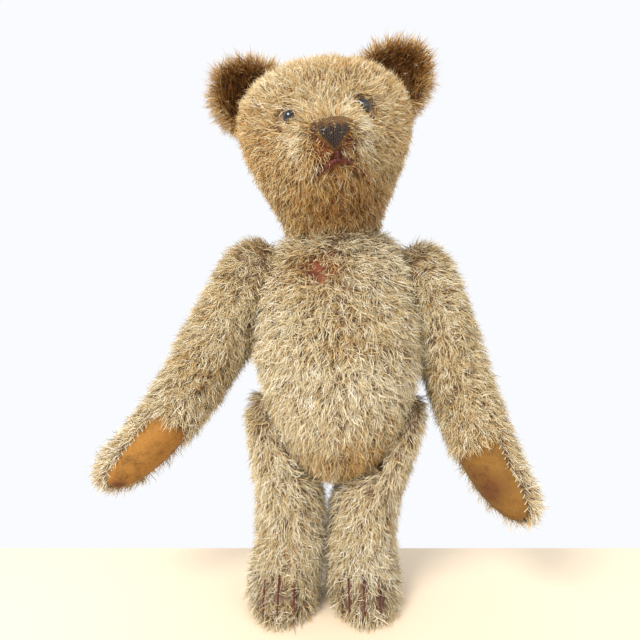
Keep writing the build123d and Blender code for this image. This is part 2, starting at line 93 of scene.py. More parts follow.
FOOT_RINGS = [(0.62, 0.25, 0.70), (0.36, 0.72, 0.88), (0.14, 1.0, 1.0), (0.0, 1.0, 0.95)]
CLAW_OFFSETS, CLAW_ROOT, CLAW_RISE, CLAW_ANGLES = (-9.0, -1.5, 6.5), 8.0, 1.5, (14, 28, 42, 56, 68)
DOME_ANGLES = (35, 62, 80)
HIP_FLAT, HIP_DISH = 28.0, 38.0
PAW_PAD_START, PAW_PAD_TURN = 5.0, 42.0

# Pile
STRAND_WIDTH = 0.32       # three or four hairs, because one of 0.05 is too fine to show
STRANDS_IN_TUFT = 6
TUFT_RADIUS = 1.25
BODY_HAIR, HEAD_HAIR, LIMB_HAIR, EAR_HAIR = 8.0, 6.4, 7.6, 8.6
BODY_STAND, HEAD_STAND, EAR_STAND = 62.0, 60.0, 40.0     # degrees from upright
EAR_CURL = 0.7
TUFTS_SPREAD = 0.75       # radians, by which tufts lie unlike the way they were combed
STRAY_SHARE = 0.03        # hairs of a dye all their own

# Stitches
MOUTH_LIFT, CLAW_LIFT = 2.0, 4.0       # off the cloth, so that they lie on the pile
EYE_LANE, NOSE_LANE, MOUTH_LANE, CLAW_LANE = 2.6, 0.9, 1.6, 1.2    # kept clear of pile


def place(x, y, z):
    return HOME + Vector((x, y, z)) * MM


def deselect():
    if bpy.context.mode != "OBJECT":
        bpy.ops.object.mode_set(mode="OBJECT")
    bpy.ops.object.select_all(action="DESELECT")


def pick(obj):
    deselect()
    obj.select_set(True)
    bpy.context.view_layer.objects.active = obj
    return obj


def finish_modifiers(obj):
    pick(obj)
    for modifier in list(obj.modifiers):
        bpy.ops.object.modifier_apply(modifier=modifier.name)
    return obj


def points_of(obj):
    co = np.empty(len(obj.data.vertices) * 3)
    obj.data.vertices.foreach_get("co", co)
    return co.reshape(-1, 3)


def set_points(obj, co):
    obj.data.vertices.foreach_set("co", np.asarray(co, np.float32).ravel())
    obj.data.update()


def wear(obj, finish):
    obj.data.materials.clear()
    obj.data.materials.append(finish)


def show(obj):
    bpy.context.scene.collection.objects.link(obj)


# ------------------------------------------------------------------ materials

def linear(text):
    """sRGB hex as linear RGBA."""
    values = [int(text[i:i + 2], 16) / 255 for i in (1, 3, 5)]
    return tuple(v / 12.92 if v <= 0.04045 else ((v + 0.055) / 1.055) ** 2.4 for v in values) + (1.0,)


def add(tree, kind, settings=None, links=None):
    """A node with its settings, ramp stops and links."""
    node = tree.nodes.new(kind)
    for key, value in (settings or {}).items():
        if key == "stops":
            ramp = node.color_ramp
            while len(ramp.elements) < len(value):
                ramp.elements.new(0.5)
            for element, (position, colour) in zip(ramp.elements, value):
                element.position, element.color = position, linear(colour)
        elif isinstance(key, int) or key in node.inputs:
            node.inputs[key].default_value = value
        else:
            setattr(node, key, value)
    for key, source in (links or {}).items():
        tree.links.new(source, node.inputs[key])
    return node


def material(name, **settings):
    """A new material, its node tree and its Principled shader with plain values set on it."""
    made = bpy.data.materials.new(name)
    made.use_nodes = True
    tree = made.node_tree
    shader = tree.nodes["Principled BSDF"]
    for key, value in settings.items():
        shader.inputs[key.replace("_", " ").capitalize() if key != "ior" else "IOR"].default_value = value
    return made, tree, shader


def finish_shader(tree, shader, colour, grain, strength, depth):
    """Colour and raised grain, joined to the shader."""
    bump = add(tree, "ShaderNodeBump", {"Strength": strength, "Distance": depth * MM}, {"Height": grain})
    tree.links.new(colour, shader.inputs["Base Color"])
    tree.links.new(bump.outputs[0], shader.inputs["Normal"])


def mohair_pile():
    """Spun mohair, cut and steamed. Long soft lustrous hairs, painted darker by the root as the shade deep in
    the pile.
    The map's U is the hair's own dye and dirt, and V runs from its root to its tip, along which that painted
    shade fades."""
    made, tree, shader = material("mohair_pile", Roughness=0.62)
    uv = add(tree, "ShaderNodeUVMap", {"uv_map": "OFBake"})
    parts = add(tree, "ShaderNodeSeparateXYZ", links={0: uv.outputs[0]})
    dye = add(tree, "ShaderNodeValToRGB", {"stops": [
        (0.0, "#2A160B"), (0.14, "#5C3517"), (0.28, "#97672C"), (0.42, "#BC9654"), (0.56, "#C2AF84"),
        (0.70, "#D2C8A8"), (0.85, "#E6E0CC"), (1.0, "#F5F1E6")]}, {0: parts.outputs[0]})
    # painted shade: hairs darkened towards their roots, where the pile shades itself
    root = add(tree, "ShaderNodeValToRGB", {"stops": [
        (0.0, "#A08C80"), (0.3, "#DACEC4"), (0.6, "#FFFFFF"), (1.0, "#FFFFFF")]}, {0: parts.outputs[1]})
    colour = add(tree, "ShaderNodeMix", {"data_type": "RGBA", "blend_type": "MULTIPLY", 0: 1.0},
                 {6: dye.outputs[0], 7: root.outputs[0]})
    tree.links.new(colour.outputs[2], shader.inputs["Base Color"])
    return made


def mohair_backing(name, worn):
    """Cotton cloth that the mohair is woven into, aged pink brown. It shows between the tufts, rust red where
    the pile has worn away: each worn place is a point and a radius."""
    made, tree, shader = material(name, Roughness=0.95)
    where = add(tree, "ShaderNodeTexCoord").outputs["Object"]
    threads = []
    for direction in ("X", "Z"):
        # threads 0.9 apart
        threads.append(add(tree, "ShaderNodeTexWave", {
            "bands_direction": direction, "Scale": 2 * math.pi / (20 * 0.9 * MM), "Distortion": 1.5},
            {"Vector": where}).outputs["Fac"])
    weave = add(tree, "ShaderNodeMath", {"operation": "MULTIPLY"}, {0: threads[0], 1: threads[1]})
    soil = add(tree, "ShaderNodeTexNoise", {"Scale": 1 / (6 * MM), "Detail": 4.0}, {"Vector": where})
    ground = add(tree, "ShaderNodeValToRGB", {"stops": [
        (0.25, "#54402F"), (0.5, "#786049"), (0.75, "#94806A")]}, {0: soil.outputs["Fac"]}).outputs[0]
    for spot, radius in worn:
        far = add(tree, "ShaderNodeVectorMath", {"operation": "DISTANCE", 1: spot}, {0: where})
        near = add(tree, "ShaderNodeMapRange", {1: radius * 1.25 * MM, 2: radius * 0.6 * MM},
                   {0: far.outputs["Value"]})
        rust = add(tree, "ShaderNodeValToRGB", {"stops": [(0.3, "#4E2212"), (0.7, "#7C4228")]},
                   {0: soil.outputs["Fac"]})
        ground = add(tree, "ShaderNodeMix", {"data_type": "RGBA"},
                     {0: near.outputs[0], 6: ground, 7: rust.outputs[0]}).outputs[2]
    finish_shader(tree, shader, ground, weave.outputs[0], 0.6, 0.3)
    return made


def wool_felt(name, stains, low, top):
    """Pressed wool felt in two tones, matt, faintly fibrous, with brown grease stains.
    Each stain is a point and a radius."""
    made, tree, shader = material(name, Roughness=0.92)
    where = add(tree, "ShaderNodeTexCoord").outputs["Object"]
    fibre = add(tree, "ShaderNodeTexNoise", {"Scale": 1 / (0.9 * MM), "Detail": 5.0}, {"Vector": where})
    cloud = add(tree, "ShaderNodeTexNoise", {"Scale": 1 / (9 * MM), "Detail": 5.0, "Roughness": 0.65},
                {"Vector": where})
    both = add(tree, "ShaderNodeMath", {"operation": "MULTIPLY_ADD", 1: 0.35}, {0: fibre.outputs["Fac"],
                                                                              2: cloud.outputs["Fac"]})
    colour = add(tree, "ShaderNodeValToRGB", {"stops": [
        (0.5, low), (0.72, top)]}, {0: both.outputs[0]}).outputs[0]
    for spot, radius in stains:
        far = add(tree, "ShaderNodeVectorMath", {"operation": "DISTANCE", 1: spot}, {0: where})
        near = add(tree, "ShaderNodeMapRange", {1: radius * MM, 2: 0.0}, {0: far.outputs["Value"]})
        edge = add(tree, "ShaderNodeMath", {"operation": "MULTIPLY_ADD", 1: 1.5, 2: -0.55},
                   {0: cloud.outputs["Fac"]})
        much = add(tree, "ShaderNodeMath", {"operation": "ADD"}, {0: near.outputs[0], 1: edge.outputs[0]})
        soft = add(tree, "ShaderNodeMapRange", {1: 0.35, 2: 0.85, 4: 0.8}, {0: much.outputs[0]})
        colour = add(tree, "ShaderNodeMix", {"data_type": "RGBA", 7: linear("#4E220C")},
                     {0: soft.outputs[0], 6: colour}).outputs[2]
    finish_shader(tree, shader, colour, fibre.outputs["Fac"], 0.45, 0.3)
    return made


def twisted_cotton(name, dark, light, spacing):
    """Plied embroidery cotton: soft sheen, with darker lines of painted shade where the plies meet."""
    made, tree, shader = material(name, Roughness=0.6)
    where = add(tree, "ShaderNodeTexCoord").outputs["Object"]
    plies = add(tree, "ShaderNodeTexWave", {
        "bands_direction": "DIAGONAL", "Scale": 2 * math.pi / (20 * spacing * MM), "Distortion": 2.0,
        "Detail": 2.0}, {"Vector": where})
    # painted shade: the dark tone of the bands stands for the grooves between the plies
    colour = add(tree, "ShaderNodeValToRGB", {"stops": [(0.1, dark), (0.9, light)]},
                 {0: plies.outputs["Fac"]})
    finish_shader(tree, shader, colour.outputs[0], plies.outputs["Fac"], 0.7, 0.2)
    return made


def blown_glass():
    """Blown black glass, old: a sharp highlight, with a faint blue cloud and fine rubs."""
    made, tree, shader = material("blown_black_glass", ior=1.52)
    where = add(tree, "ShaderNodeTexCoord").outputs["Object"]
    cloud = add(tree, "ShaderNodeTexNoise", {"Scale": 1 / (2.5 * MM), "Detail": 3.0}, {"Vector": where})
    colour = add(tree, "ShaderNodeValToRGB", {"stops": [(0.35, "#06080C"), (0.8, "#1C2430")]},
                 {0: cloud.outputs["Fac"]})
    rubs = add(tree, "ShaderNodeMapRange", {3: 0.05, 4: 0.22}, {0: cloud.outputs["Fac"]})
    tree.links.new(colour.outputs[0], shader.inputs["Base Color"])
    tree.links.new(rubs.outputs[0], shader.inputs["Roughness"])
    return made


def streaked(name, dark, light, size, stretch, roughness, metallic=0.0):
    """Inner pieces: wood wool, pressed board, card and drawn steel, each a streaked two-tone grain."""
    made, tree, shader = material(name, Roughness=roughness, Metallic=metallic)
    where = add(tree, "ShaderNodeTexCoord").outputs["Object"]
    run = add(tree, "ShaderNodeMapping", {"Scale": stretch}, {"Vector": where})
    grain = add(tree, "ShaderNodeTexNoise", {"Scale": 1 / (size * MM), "Detail": 4.0},
                {"Vector": run.outputs[0]})
    colour = add(tree, "ShaderNodeValToRGB", {"stops": [(0.3, dark), (0.7, light)]},
                 {0: grain.outputs["Fac"]})
    finish_shader(tree, shader, colour.outputs[0], grain.outputs["Fac"], 0.4, 0.2)
    return made


# ------------------------------------------------------------------ cloth forms

def ring_skin(name, rings):
    """Closed skin through equal rings of points, one extrusion for each ring."""
    deselect()
    bpy.ops.mesh.primitive_circle_add(vertices=len(rings[0]), radius=MM, fill_type="NGON")
    obj = bpy.context.object
    obj.name = obj.data.name = name
    bpy.ops.object.mode_set(mode="EDIT")
    for index, ring in enumerate(rings):
        if index:
            bpy.ops.mesh.extrude_region_move()
        mesh = bmesh.from_edit_mesh(obj.data)
        top = next(face for face in mesh.faces if face.select)
        order = [loop.vert for loop in top.loops] if index == 0 else follow
        if index:
            order = [next(e.other_vert(v) for e in v.link_edges if e.other_vert(v).select) for v in order]
        for vert, point in zip(order, ring):
            vert.co = point
        follow = order
        bmesh.update_edit_mesh(obj.data)
    bpy.ops.mesh.select_all(action="SELECT")
    bpy.ops.mesh.normals_make_consistent(inside=False)
    bpy.ops.object.mode_set(mode="OBJECT")
    return obj


def oval(centre, across, up, half_across, half_up, count):
    turns = [2 * math.pi * i / count for i in range(count)]
    return [centre + across * (half_across * math.cos(t)) + up * (half_up * math.sin(t)) for t in turns]


def rounded(obj, voxel):
    """Skin smoothed by subdivision, then remade in even faces that cloth can stretch."""
    obj.modifiers.new("round", "SUBSURF").levels = 2
    even = obj.modifiers.new("even", "REMESH")
    even.mode, even.voxel_size = "VOXEL", voxel * MM
    soften = obj.modifiers.new("soften", "SMOOTH")
    soften.factor, soften.iterations = 0.5, 3
    return finish_modifiers(obj)


def press_flat(obj, joint, side):
    """Cloth clamped flat by a joint's disc: nothing passes the joint's plane.
    side is 1 on the limb's cloth and -1 on the torso's."""
    origin, axis = JOINTS[joint]
    co = points_of(obj)
    depth = (co - np.array(origin)) @ np.array(axis) * side
    short = np.clip(HALF_GAP * MM - depth, 0, None)
    if side == 1 and "leg" in joint:
        from_axis = co - np.array(origin) - np.outer(depth, np.array(axis))
        radius = np.linalg.norm(from_axis, axis=1)
        sunk = math.sqrt(HIP_DISH ** 2 - HIP_FLAT ** 2) * MM - HALF_GAP * MM
        dish = -sunk + np.sqrt(np.clip((HIP_DISH * MM) ** 2 - radius ** 2, 0, None))
        dish[radius > HIP_DISH * MM] = -1
        limit = np.where(radius < HIP_FLAT * MM, HALF_GAP * MM, dish)
        short = np.clip(limit - depth, 0, None)
    set_points(obj, co + np.outer(short * side, np.array(axis)))


def stuffed(obj, held, cap):
    """Cloth blown out by hard stuffing and held in along its seams, with no point moved more than cap.
    held gives each point's hold, 1 on a seam or a clamped flat."""
    rest = points_of(obj)
    group = obj.vertex_groups.new(name="held")
    for index in np.nonzero(held > 0.5)[0]:
        group.add([int(index)], 1.0, "REPLACE")
    cloth = obj.modifiers.new("stuffing", "CLOTH")
    cloth.settings.use_pressure = True
    cloth.settings.uniform_pressure_force = 4.0
    cloth.settings.effector_weights.gravity = 0.0
    cloth.settings.vertex_group_mass = "held"
    cloth.point_cache.frame_start, cloth.point_cache.frame_end = 1, 20
    for number in range(1, 21):
        bpy.context.scene.frame_set(number)
    blown = obj.evaluated_get(bpy.context.evaluated_depsgraph_get())
    moved = np.empty(len(rest) * 3)
    blown.data.vertices.foreach_get("co", moved)
    moved = moved.reshape(-1, 3) - rest
    size = np.linalg.norm(moved, axis=1, keepdims=True)
    moved *= np.minimum(1, cap * MM / np.maximum(size, 1e-9))
    pick(obj)
    bpy.ops.object.modifier_remove(modifier="stuffing")
    set_points(obj, rest + moved)
    obj.vertex_groups.clear()
    bpy.context.scene.frame_set(1)
    relax = obj.modifiers.new("relax", "SMOOTH")
    relax.factor, relax.iterations = 0.5, 2
    obj.modifiers.new("fine", "SUBSURF").levels = 1
    finish_modifiers(obj)
    bpy.ops.object.shade_smooth()
    return obj


def torso_cloth():
    rings = [oval(place(0, 0, TORSO_LOW + TORSO_TALL * height), Vector((MM, 0, 0)), Vector((0, MM, 0)),
                  TORSO_HALF_WIDTH * width * 1.015, TORSO_HALF_DEPTH * width * 1.015, 24)
             for height, width in TORSO_RINGS]
    obj = rounded(ring_skin("body_cloth", rings), 3.0)
    for joint in JOINTS:
        press_flat(obj, joint, -1)
    co = points_of(obj)
    held = (np.abs(co[:, 0] - HOME.x) < 1.6 * MM).astype(float)
    for origin, axis in JOINTS.values():
        held[(co - np.array(origin)) @ np.array(axis) > -0.6 * MM] = 1
    stuffed(obj, held, 1.6)
    co = points_of(obj)
    groove = np.exp(-((co[:, 0] - HOME.x) / (1.4 * MM)) ** 2) * 1.0 * MM
    middle = np.array(HOME + Vector((0, 0, 130 * MM)))
    inward = (middle - co) * np.array([0, 1, 1])
    inward /= np.linalg.norm(inward, axis=1, keepdims=True)
    set_points(obj, co + inward * groove[:, None])
    return obj


FACE = Matrix.Translation(JOINTS["head_turn"][0]) @ Matrix.Rotation(math.radians(-HEAD_LEAN), 4, "Y")


def on_face(p):
    """Points as the head's own frame has them, in metres."""
    return (p - np.array(FACE.translation)) @ np.array(FACE.to_3x3())


def rolled(height, roll=FACE_ROLL):
    """Face frame turned about the front-back line at a height up the head."""
    lift = Matrix.Translation((0, 0, height * MM))
    return FACE @ lift @ Matrix.Rotation(math.radians(-roll), 4, "Y") @ lift.inverted()


ROLLED = rolled(EYE_HEIGHT)


def head_cloth():
    """Skull, cheeks and throat in one with the muzzle standing out of the front."""
    rings = []
    for height, width, bulge in HEAD_RINGS:
        ring = []
        for i in range(56):
            turn = 2 * math.pi * i / 56
            x = HEAD_HALF_WIDTH * width * math.sin(turn) * 1.01
            stand = MUZZLE_STAND * bulge / (1 + (x / MUZZLE_RADIUS) ** 4) if math.cos(turn) > 0 else 0
            y = -HEAD_HALF_DEPTH * width * math.cos(turn) * 1.01 - stand
            ring.append(FACE @ (Vector((x, y, HEAD_TALL * height)) * MM))
        rings.append(ring)
    obj = rounded(ring_skin("head_cloth", rings), 2.6)
    press_flat(obj, "head_turn", 1)
    co = points_of(obj)
    local = on_face(co)
    held = (local[:, 2] < 0.8 * MM).astype(float)
    seams = (np.abs(np.abs(local[:, 0]) - 17 * MM) < 1.2 * MM) & (local[:, 2] > 36 * MM) \
        | (np.abs(local[:, 0]) < 1.2 * MM) & (local[:, 2] < 33 * MM)
    held[seams] = 1
    return stuffed(obj, held, 1.2)


def ear_cloth(side):
    """Cupped ear of two cloths, sewn on along its lower edge."""
    sign = 1 if side == "left" else -1
    turned = rolled(EAR_HEIGHT, EAR_ROLL) \
        @ Matrix.Translation(Vector((sign * EAR_SPREAD, 0, EAR_HEIGHT)) * MM) \
        @ Matrix.Rotation(math.radians(sign * EAR_TURN), 4, "Y")
    rings = []
    for share, depth in EAR_RINGS:
        flat = oval(Vector((0, depth * MM, 0)), Vector((MM, 0, 0)), Vector((0, 0, MM)),
                    EAR_HALF_WIDTH * share, EAR_REACH * share, 20)
        rings.append([turned @ point for point in flat])
    obj = rounded(ring_skin(side + "_ear_cloth", rings), 1.6)
    co = points_of(obj)
    return stuffed(obj, np.ones(len(co)), 0.0), turned


def limb_cloth(name, joint, foot=None):
    """Stuffed arm or leg through its stations, rounded at its ends."""
    axis = JOINTS[joint][1]
    stations = LIMBS[name]
    centres = [place(*station[0]) for station in stations]
    last = len(stations) - 1
    rings = []
    for i, (centre, (_, thick, wide)) in enumerate(zip(centres, stations)):
        along = (centres[min(i + 1, last)] - centres[max(i - 1, 0)]).normalized()
        across = along.cross(axis).normalized()
        angles = [0]
        if i == 0:
            angles = [-angle for angle in reversed(DOME_ANGLES)] + [0]
        if i == last and foot is None:
            angles = [0] + list(DOME_ANGLES)
        for angle in angles:
            share = math.cos(math.radians(angle))
            middle = centre + along * (wide * MM * math.sin(math.radians(angle)))
            rings.append(oval(middle, across, along.cross(across), wide * MM * share * 1.03,
                              thick * MM * share * 1.03, 20))
    if foot:
        ankle = stations[-1][0]
        # the ring's first point goes on round from where the shin's first point is
        for height, spread, length in FOOT_RINGS:
            middle = place(foot[0], ankle[1] + (foot[1] - ankle[1]) * spread, height * FOOT_TALL)
            rings.append(oval(middle, Vector((0, -MM, 0)), Vector((-MM, 0, 0)),
                              FOOT_HALF_LENGTH * length * 1.02, FOOT_HALF_WIDTH * 1.02, 20))
        start = rings[-5][0] - centres[-1]
        if start.y > 0:
            for k in range(1, 5):
                rings[-k] = rings[-k][10:] + rings[-k][:10]
        turn_way = (rings[-5][5] - centres[-1]).x * (rings[-1][5] - rings[-1][0]).x
        if turn_way < 0:
            for k in range(1, 5):
                rings[-k] = [rings[-k][0]] + rings[-k][:0:-1]
    obj = rounded(ring_skin(name + "_cloth", rings), 2.4)
    press_flat(obj, joint, 1)
    if foot:
        co = points_of(obj)
        co[:, 2] = np.where(co[:, 2] < 2.0 * MM, np.clip(co[:, 2] - 0.6 * MM, 0.3 * MM, None), co[:, 2])
        set_points(obj, co)
    co = points_of(obj)
    depth = (co - np.array(JOINTS[joint][0])) @ np.array(axis)
    held = (depth < 0.8 * MM).astype(float)
    if foot:
        held[co[:, 2] < 1.5 * MM] = 1
    stuffed(obj, held, 1.0)
    if foot:
        co = points_of(obj)
        co[:, 2] = np.maximum(co[:, 2], 0.15 * MM)
        set_points(obj, co)
    return obj


# ------------------------------------------------------------------ pile

def down(p, n):
    return np.tile([0.0, 0.0, -1.0], (len(p), 1))


def tufts(obj, per_mm2, rng):
    """Places, normals and shares of the faces, spread evenly over a form."""
    mesh = obj.data
    mesh.calc_loop_triangles()
    tri = np.empty(len(mesh.loop_triangles) * 3, np.int64)
    mesh.loop_triangles.foreach_get("vertices", tri)
    tri = tri.reshape(-1, 3)
    co = points_of(obj)
    normals = np.empty(len(co) * 3)
    mesh.vertex_normals.foreach_get("vector", normals)
    normals = normals.reshape(-1, 3)
    a, b, c = co[tri[:, 0]], co[tri[:, 1]], co[tri[:, 2]]
    area = np.linalg.norm(np.cross(b - a, c - a), axis=1) / 2
    count = int(area.sum() / MM ** 2 * per_mm2)
    faces = np.searchsorted(np.cumsum(area) / area.sum(), rng.random(count))
    faces = np.minimum(faces, len(tri) - 1)
    u, v = rng.random(count), rng.random(count)
    flip = u + v > 1
    u[flip], v[flip] = 1 - u[flip], 1 - v[flip]
    w = 1 - u - v
    mix = lambda values: (values[tri[faces, 0]] * w[:, None] + values[tri[faces, 1]] * u[:, None]
                          + values[tri[faces, 2]] * v[:, None])
    p, n = mix(co), mix(normals)
    return p, n / np.linalg.norm(n, axis=1, keepdims=True)


def unit(v):
    return v / np.maximum(np.linalg.norm(v, axis=1, keepdims=True), 1e-12)


def pile(name, form, body, seed, per_mm2, keep, dye, long, lie, stand, curl=1.25):
    """Tufts of wavy mohair hairs over a form, as narrow three-part blades.
    keep(p, n) is the share of tufts that have survived, and of their length; dye(p) is the hair's colour;
    lie(p, n) the way that it was combed; stand the angle from upright at which it lies."""
    rng = np.random.default_rng(seed)
    p, n = tufts(form, per_mm2 / STRANDS_IN_TUFT, rng)
    share = keep(p, n)
    kept = rng.random(len(p)) < share
    p, n, share = p[kept], n[kept], share[kept]
    flow = lie(p, n)
    flow = unit(flow - n * (flow * n).sum(1, keepdims=True) + 1e-6)
    side = np.cross(n, flow)
    swirl = rng.normal(0, TUFTS_SPREAD, len(p))[:, None]
    flow, side = flow * np.cos(swirl) + side * np.sin(swirl), side * np.cos(swirl) - flow * np.sin(swirl)
    tuft_phase = rng.random(len(p)) * 2 * np.pi
    tuft_tint = dye(p) + rng.normal(0, 0.06, len(p))
    tuft_stand = rng.normal(stand, 9.0, len(p))
    k = STRANDS_IN_TUFT
    spread = lambda v: np.repeat(v, k, axis=0)
    p, n, flow, side, share = spread(p), spread(n), spread(flow), spread(side), spread(share)
    tuft_phase, tint, lean = spread(tuft_phase), spread(tuft_tint), spread(tuft_stand)
    count = len(p)
    phase = tuft_phase + rng.normal(0, 0.7, count)
    tint = tint + rng.normal(0, 0.12, count)
    stray = rng.random(count) < STRAY_SHARE
    tint = np.where(stray, rng.random(count), tint)
    tint = np.clip(tint, 0.03, 0.97)
    lean = np.radians(np.clip(lean + rng.normal(0, 7.0, count), 8, 84))
    length = long * MM * np.clip(rng.normal(1.0, 0.2, count), 0.4, 1.5) * np.clip(share * 1.5, 0.35, 1.0)
    off_a, off_b = rng.normal(0, TUFT_RADIUS * MM, count), rng.normal(0, TUFT_RADIUS * MM, count)
    roll = rng.normal(0, 0.8, count)
    across = unit(side * np.cos(roll)[:, None] + n * np.sin(roll)[:, None])
    levels = (0.0, 0.34, 0.68, 1.0)
    widths = (0.9, 1.0, 0.75, 0.0)
    centre = p + flow * off_a[:, None] + side * off_b[:, None] - n * 0.5 * MM
    wave = curl * MM * rng.uniform(0.5, 1.3, count)
    rows = []
    for step, (level, width) in enumerate(zip(levels, widths)):
        if step:
            angle = lean * (0.45 + 0.62 * level)
            run = (levels[step] - levels[step - 1]) * length
            centre = centre + (n * np.cos(angle)[:, None] + flow * np.sin(angle)[:, None]) * run[:, None]
        gather = -0.15 * level
        sway = wave * np.sin(phase + level * 4.2) * level ** 0.5
        lift = 0.4 * wave * np.cos(phase * 1.7 + level * 5.0) * level
        middle = centre + (flow * off_a[:, None] + side * off_b[:, None]) * gather \
            + side * sway[:, None] + n * lift[:, None]
        half = across * (STRAND_WIDTH * MM * width / 2)
        rows += [middle - half, middle + half] if width else [middle]
    verts = np.stack(rows, axis=1)
    verts[:, :, 2] = np.maximum(verts[:, :, 2], 0.1 * MM)
    base = (np.arange(count) * 7)[:, None]
    quads = np.concatenate([base + np.array([[0, 1, 3, 2]]), base + np.array([[2, 3, 5, 4]])], axis=1)
    loops = np.concatenate([quads, base + np.array([[4, 5, 6]])], axis=1).ravel()
    starts = (np.arange(count) * 11)[:, None] + np.array([[0, 4, 8]])
    mesh = bpy.data.meshes.new(name)
    mesh.vertices.add(count * 7)
    mesh.vertices.foreach_set("co", verts.astype(np.float32).ravel())
    mesh.loops.add(len(loops))
    mesh.loops.foreach_set("vertex_index", loops.astype(np.int32))
    mesh.polygons.add(count * 3)
    mesh.polygons.foreach_set("loop_start", starts.ravel().astype(np.int32))
    mesh.update(calc_edges=True)
    layer = mesh.uv_layers.new(name="OFBake")
    # V runs from root to tip; the pile's material paints shade darker at the root along it
    v_rows = 0.03 + 0.94 * np.array([0, 0, 0.34, 0.34, 0.68, 0.68, 1.0])
    u_rows = np.array([-0.012, 0.012, -0.012, 0.012, -0.012, 0.012, 0.0])
    pattern = np.array([0, 1, 3, 2, 2, 3, 5, 4, 4, 5, 6])
    uv = np.empty((count, 11, 2), np.float32)
    uv[:, :, 0] = tint[:, None] + u_rows[pattern]
    uv[:, :, 1] = v_rows[pattern]
    layer.data.foreach_set("uv", uv.ravel())
    obj = bpy.data.objects.new(name, mesh)
    show(obj)
    mesh.materials.append(PILE)
    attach(obj, body)
    return obj


def near_node(names, reach):
    """True for points within reach of CAD nodes."""
    places = [v.co for name in names for v in frame["nodes"][name].data.vertices]
    tree = KDTree(len(places))
    for index, point in enumerate(places):
        tree.insert(point, index)
    tree.balance()
    return lambda p: np.array([tree.find(Vector(point))[2] < reach * MM for point in p], bool)


def off_flats(p, joints, side, reach):
    """False where a joint's cloths lie on each other, because their pile is pressed away."""
    clear = np.ones(len(p), bool)
    for joint, radius in joints:
        origin, axis = JOINTS[joint]
        depth = (p - np.array(origin)) @ np.array(axis) * side
        from_axis = np.linalg.norm(p - np.array(origin), axis=1)
        clear &= ~((depth < reach * MM) & (from_axis < radius * MM))
    return clear


def closeness(p, spot, radius):
    """1 at a spot, falling smoothly to 0 at its radius."""
    far = np.linalg.norm(p - np.array(spot), axis=1) / (radius * MM)
    return np.clip(1 - far, 0, 1) ** 2 * (3 - 2 * np.clip(1 - far, 0, 1))


# ------------------------------------------------------------------ thread

def thread(name, paths, radius, plies, finish, body):
    """Plied thread along each path: round strands wound about one another."""
    deselect()
    made = []
    for path in paths:
        points = [Vector(point) for point in path]
        lengths = np.concatenate([[0], np.cumsum([(b - a).length for a, b in zip(points, points[1:])])])
        total = lengths[-1]
        steps = max(6, int(total / (0.7 * MM)))
        array = np.array(points)
        at = lambda s: Vector([np.interp(s, lengths, array[:, i]) for i in range(3)])
        for ply in range(plies):
            curve = bpy.data.curves.new(name, "CURVE")
            curve.dimensions = "3D"
            curve.bevel_depth = radius * MM / (1 if plies == 1 else 1.7)
            curve.bevel_resolution, curve.use_fill_caps = 2, True
            spline = curve.splines.new("POLY")
            spline.points.add(steps)
            for i in range(steps + 1):
                s = total * i / steps
                here = at(s)
                along = (at(min(s + 0.4 * MM, total)) - at(max(s - 0.4 * MM, 0))).normalized()
                first = along.cross(Vector((0.3, 0.1, 0.9))).normalized()
                second = along.cross(first)
                angle = 2 * math.pi * (s / (5.0 * radius * MM) + ply / plies)
                wound = 0 if plies == 1 else radius * MM * 0.5
                spot = here + (first * math.cos(angle) + second * math.sin(angle)) * wound
                spline.points[i].co = (*spot, 1)
            obj = bpy.data.objects.new(name, curve)
            show(obj)
            made.append(obj)
    for obj in made:
        obj.select_set(True)
    bpy.context.view_layer.objects.active = made[0]
    bpy.ops.object.convert(target="MESH")
    bpy.ops.object.join()
    obj = bpy.context.object
    obj.name = obj.data.name = name
    wear(obj, finish)
    bpy.ops.object.shade_smooth()
    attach(obj, body)
    return obj


def surface(obj):
    return BVHTree.FromObject(obj, bpy.context.evaluated_depsgraph_get())


def front_of(tree, point, lift):
    """Where a line along Y meets the front of a form, lifted off it."""
    start = Vector((point.x, -0.3, point.z))
    hit, normal, _, _ = tree.ray_cast(start, Vector((0, 1, 0)))
    return hit + normal * (lift * MM)


# ------------------------------------------------------------------ making the bear

PILE = mohair_pile()
RUST_THREAD = twisted_cotton("red_brown_cotton_twist", "#2E0A06", "#6E2418", 0.7)
BLACK_THREAD = twisted_cotton("black_brown_cotton_twist", "#0C0805", "#33241A", 0.7)
CREAM_THREAD = twisted_cotton("cream_linen_thread", "#8E7C5C", "#E4D8BC", 0.6)
NOSE_TIP = ROLLED @ (Vector((0, -66, NOSE_HEIGHT)) * MM)
CHEST = place(-11, -33, 180)

inner = {
    "stuffing": streaked("packed_wood_wool", "#8A6A3C", "#D9BC84", 1.5, (1, 0.2, 1), 0.9),
    "disc": streaked("pressed_fibreboard", "#4A3020", "#7A5638", 0.8, (1, 1, 1), 0.8),
    "insole": streaked("pasted_card", "#8A7452", "#B49C74", 1.2, (1, 0.3, 1), 0.85),
    "washer": streaked("stamped_steel", "#77777A", "#A4A4A6", 0.6, (1, 1, 1), 0.4, 1.0),
    "pin": streaked("drawn_steel_wire", "#6C6C70", "#9A9A9C", 0.5, (1, 1, 0.2), 0.35, 1.0),
    "wires": streaked("drawn_iron_wire", "#4C4A48", "#7C7A78", 0.5, (1, 0.2, 1), 0.45, 1.0),
}
for node_name, node in frame["nodes"].items():
    for ending, finish in inner.items():
        if node_name.endswith(ending):
            wear(node, finish)
GLASS = blown_glass()
for side in ("left", "right"):
    node = frame["nodes"][side + "_eye"]
    wear(node, GLASS)


def wear_cloth(obj, finish, body, slot_name, fill, *nodes):
    wear(obj, finish)
    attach(obj, body)
    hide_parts(*nodes)


